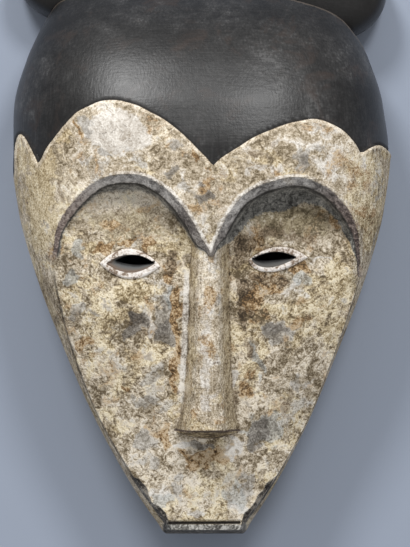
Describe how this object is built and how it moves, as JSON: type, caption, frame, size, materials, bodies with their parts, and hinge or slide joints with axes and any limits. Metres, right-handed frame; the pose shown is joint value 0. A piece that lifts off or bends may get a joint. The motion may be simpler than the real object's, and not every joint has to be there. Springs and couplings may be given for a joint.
{
  "type": "fang mask",
  "caption": "Long carved wooden face mask with a white kaolin face, scalloped dark cap, arched brows, slit eyes and a slender nose, lying on its hollow back.",
  "frame": {"origin": "middle of the object's box, at the height of the flat back rim that it lies on", "axes": "+Z forward out of the face, +Y from the chin to the crown, +X towards the viewer's right"},
  "size_m": [0.2799, 0.4508, 0.1443],
  "materials": {
    "painted_wood": "matt kaolin over dark stained wood, worn and mottled"
  },
  "bodies": {
    "root": {"carved_mask": "painted_wood"}
  },
  "joints": []
}
